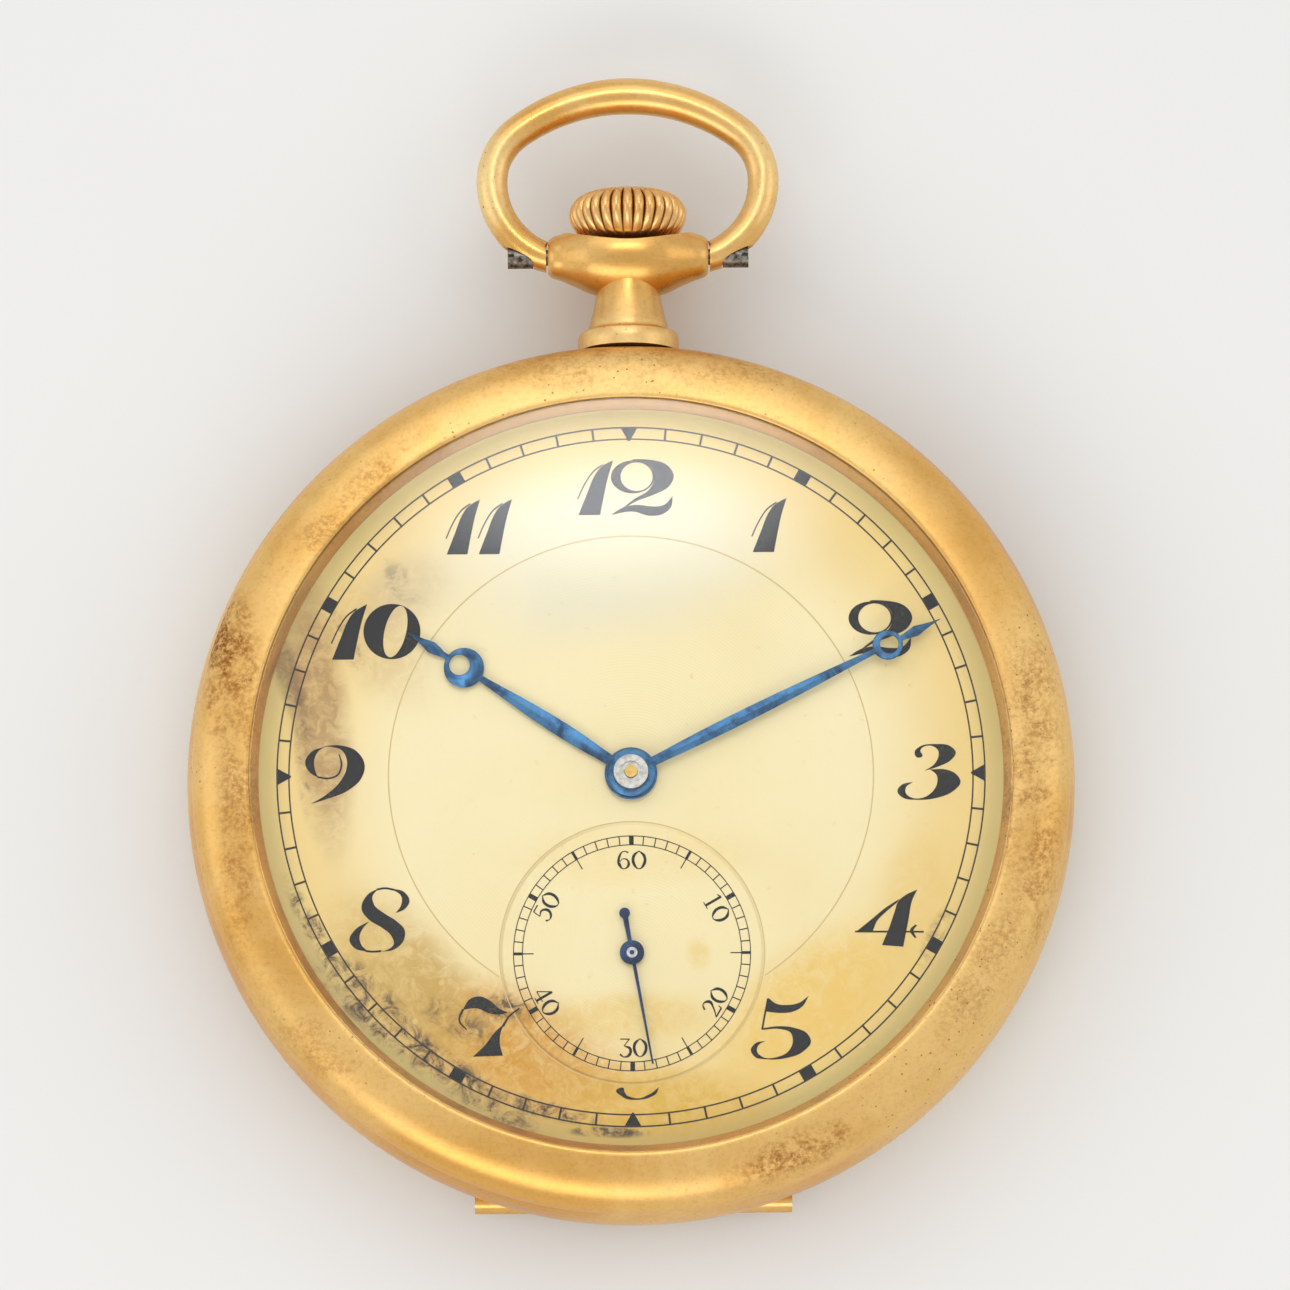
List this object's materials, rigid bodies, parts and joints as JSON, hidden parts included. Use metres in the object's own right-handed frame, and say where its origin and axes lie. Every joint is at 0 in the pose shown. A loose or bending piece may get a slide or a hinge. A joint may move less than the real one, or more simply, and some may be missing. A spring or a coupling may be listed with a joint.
{
  "type": "open-face pocket watch",
  "caption": "Gold open-face pocket watch with small seconds, ribbed winding crown, turning bow, domed crystal, two-lid hinged back and a jewelled lever movement.",
  "frame": {"origin": "on the centre arbor's axis, in the flat of the back cover that the watch lies on", "axes": "+Z out through the dial and crystal, +Y towards twelve o'clock, the crown and the bow, +X towards three o'clock"},
  "size_m": [0.05, 0.0657, 0.0099],
  "materials": {
    "case_gold": "satin, worn, with brown tarnish",
    "lid_gold": "polished",
    "bow_gold": "polished, worn",
    "crown_gold": "polished ribs with brown grooves",
    "crystal": "clear",
    "dial_face": "matt cream enamel paint, stained",
    "blued_hands": "heat-blued steel, faceted",
    "hand_cap": "polished",
    "screw_steel": "grey, worn",
    "gilt_plates": "gilt, matt",
    "brass_wheels": "polished",
    "polished_steel": "polished",
    "spring_steel": "plain",
    "blued_steel": "heat-blued",
    "balance_gilt": "polished",
    "ruby": "clear red stone"
  },
  "bodies": {
    "case": {"mid_case": "case_gold", "pendant": "case_gold", "bezel": "case_gold", "crystal": "crystal", "hinge_pin": "case_gold", "bow_screws": "screw_steel", "dial": "dial_face", "main_plate": "gilt_plates", "barrel_bridge": "gilt_plates", "train_bridge": "gilt_plates", "balance_cock": "gilt_plates", "pallet_cock": "gilt_plates", "crown_wheel_cap": "blued_steel", "click_spring": "polished_steel", "hairspring_stud": "polished_steel", "setting_spring": "polished_steel", "jewels": "ruby", "bridge_screws": "blued_steel", "case_screws": "screw_steel"},
    "back_cover": {"back_cover": "lid_gold"},
    "cuvette": {"cuvette": "lid_gold"},
    "bow": {"bow": "bow_gold"},
    "winding_pinion": {"winding_pinion": "polished_steel"},
    "stem": {"stem": "polished_steel", "crown": "crown_gold"},
    "sliding_pinion": {"sliding_pinion": "polished_steel"},
    "setting_lever": {"setting_lever": "polished_steel"},
    "yoke": {"yoke": "polished_steel"},
    "crown_wheel": {"crown_wheel": "polished_steel"},
    "ratchet": {"ratchet_wheel": "polished_steel", "ratchet_screw": "blued_steel", "barrel_arbor": "polished_steel"},
    "click": {"click": "polished_steel"},
    "barrel": {"barrel": "brass_wheels", "barrel_lid": "brass_wheels", "mainspring": "spring_steel"},
    "centre_wheel": {"centre_wheel": "brass_wheels"},
    "third_wheel": {"third_wheel": "brass_wheels"},
    "fourth_wheel": {"fourth_wheel": "brass_wheels", "seconds_hand": "blued_hands"},
    "escape_wheel": {"escape_wheel": "polished_steel"},
    "pallet_fork": {"pallet_fork": "polished_steel", "pallet_stones": "ruby"},
    "balance": {"balance_wheel": "balance_gilt", "balance_screws": "balance_gilt", "balance_staff": "polished_steel", "hairspring": "blued_steel"},
    "regulator": {"regulator": "polished_steel"},
    "minute_hand": {"cannon_pinion": "hand_cap", "minute_hand": "blued_hands"},
    "minute_wheel": {"minute_wheel": "brass_wheels"},
    "hour_hand": {"hour_wheel": "brass_wheels", "hour_hand": "blued_hands"},
    "setting_wheel": {"setting_wheel": "polished_steel"}
  },
  "joints": [
    {"name": "back_cover_hinge", "type": "hinge", "parent": "case", "child": "back_cover", "pos_m": [0, -0.0234, 0.0022], "axis": [-1, 0, 0], "range_deg": [0, 105]},
    {"name": "cuvette_hinge", "type": "hinge", "parent": "case", "child": "cuvette", "pos_m": [0, -0.0234, 0.0022], "axis": [-1, 0, 0], "range_deg": [0, 90]},
    {"name": "bow_hinge", "type": "hinge", "parent": "case", "child": "bow", "pos_m": [0, 0.03036, 0.0043], "axis": [1, 0, 0], "range_deg": [-100, 100]},
    {"name": "crown_turn", "type": "hinge", "parent": "case", "child": "winding_pinion", "pos_m": [0, 0.03, 0.0043], "axis": [0, 1, 0], "continuous": true},
    {"name": "crown_pull", "type": "slide", "parent": "winding_pinion", "child": "stem", "axis": [0, 1, 0], "range_m": [0, 0.0008]},
    {"name": "sliding_pinion_shift", "type": "slide", "parent": "winding_pinion", "child": "sliding_pinion", "axis": [0, 1, 0], "range_m": [-0.0008, 0]},
    {"name": "setting_lever_turn", "type": "hinge", "parent": "case", "child": "setting_lever", "pos_m": [-0.0045, 0.0176, 0.0062], "axis": [0, 0, 1], "range_deg": [0, 12]},
    {"name": "yoke_turn", "type": "hinge", "parent": "case", "child": "yoke", "pos_m": [-0.0065, 0.0132, 0.0062], "axis": [0, 0, 1], "range_deg": [-7.2, 0]},
    {"name": "crown_wheel_turn", "type": "hinge", "parent": "case", "child": "crown_wheel", "pos_m": [0, 0.01092, 0.0021], "axis": [0, 0, 1], "continuous": true},
    {"name": "ratchet_turn", "type": "hinge", "parent": "case", "child": "ratchet", "pos_m": [0.00779, 0.0045, 0.0021], "axis": [0, 0, 1], "continuous": true},
    {"name": "click_lift", "type": "hinge", "parent": "case", "child": "click", "pos_m": [0.00713, 0.01207, 0.0021], "axis": [0, 0, 1], "range_deg": [0, 10], "stiffness_Nm_per_rad": 0.0002, "deforming": ["click_spring"]},
    {"name": "minute_turn", "type": "hinge", "parent": "case", "child": "minute_hand", "pos_m": [0, 0, 0.008], "axis": [0, 0, -1], "continuous": true},
    {"name": "minute_wheel_turn", "type": "hinge", "parent": "case", "child": "minute_wheel", "pos_m": [0, 0.0048, 0.0063], "axis": [0, 0, -1], "continuous": true},
    {"name": "hour_turn", "type": "hinge", "parent": "case", "child": "hour_hand", "pos_m": [0, 0, 0.007], "axis": [0, 0, -1], "continuous": true},
    {"name": "setting_wheel_turn", "type": "hinge", "parent": "case", "child": "setting_wheel", "pos_m": [0, 0.0104, 0.0063], "axis": [0, 0, -1], "continuous": true},
    {"name": "seconds_turn", "type": "hinge", "parent": "case", "child": "fourth_wheel", "pos_m": [0, -0.01006, 0.005], "axis": [0, 0, -1], "continuous": true},
    {"name": "third_wheel_turn", "type": "hinge", "parent": "case", "child": "third_wheel", "pos_m": [-0.00266, -0.00571, 0.0044], "axis": [0, 0, -1], "continuous": true},
    {"name": "centre_wheel_turn", "type": "hinge", "parent": "case", "child": "centre_wheel", "pos_m": [0, 0, 0.0044], "axis": [0, 0, -1], "continuous": true},
    {"name": "barrel_turn", "type": "hinge", "parent": "case", "child": "barrel", "pos_m": [0.00779, 0.0045, 0.0045], "axis": [0, 0, -1], "continuous": true},
    {"name": "escape_wheel_turn", "type": "hinge", "parent": "case", "child": "escape_wheel", "pos_m": [0.0022, -0.01387, 0.0047], "axis": [0, 0, -1], "continuous": true},
    {"name": "pallet_swing", "type": "hinge", "parent": "case", "child": "pallet_fork", "pos_m": [0.00487, -0.01229, 0.0047], "axis": [0, 0, 1], "range_deg": [-5, 5]},
    {"name": "balance_swing", "type": "hinge", "parent": "case", "child": "balance", "pos_m": [0.0088, -0.00996, 0.0036], "axis": [0, 0, 1], "range_deg": [-270, 270], "stiffness_Nm_per_rad": 0.0000044, "deforming": ["hairspring"]},
    {"name": "regulator_turn", "type": "hinge", "parent": "case", "child": "regulator", "pos_m": [0.0088, -0.00996, 0.002], "axis": [0, 0, 1], "range_deg": [-20, 20]}
  ],
  "couplings": [
    {"joint": "cuvette_hinge", "follows": "back_cover_hinge", "ratio": 0.85},
    {"joint": "crown_wheel_turn", "follows": "crown_turn", "ratio": 0.41304},
    {"joint": "ratchet_turn", "follows": "crown_turn", "ratio": -0.34546},
    {"joint": "sliding_pinion_shift", "follows": "crown_pull", "ratio": -1},
    {"joint": "setting_lever_turn", "follows": "crown_pull", "rad_per_m": 254.45},
    {"joint": "yoke_turn", "follows": "crown_pull", "rad_per_m": -153.8},
    {"joint": "minute_wheel_turn", "follows": "minute_turn", "ratio": -0.33333},
    {"joint": "hour_turn", "follows": "minute_turn", "ratio": 0.083333},
    {"joint": "setting_wheel_turn", "follows": "minute_turn", "ratio": 0.6},
    {"joint": "third_wheel_turn", "follows": "seconds_turn", "ratio": -0.13333},
    {"joint": "centre_wheel_turn", "follows": "seconds_turn", "ratio": 0.016667},
    {"joint": "barrel_turn", "follows": "seconds_turn", "ratio": -0.0020833},
    {"joint": "escape_wheel_turn", "follows": "seconds_turn", "ratio": -10}
  ]
}
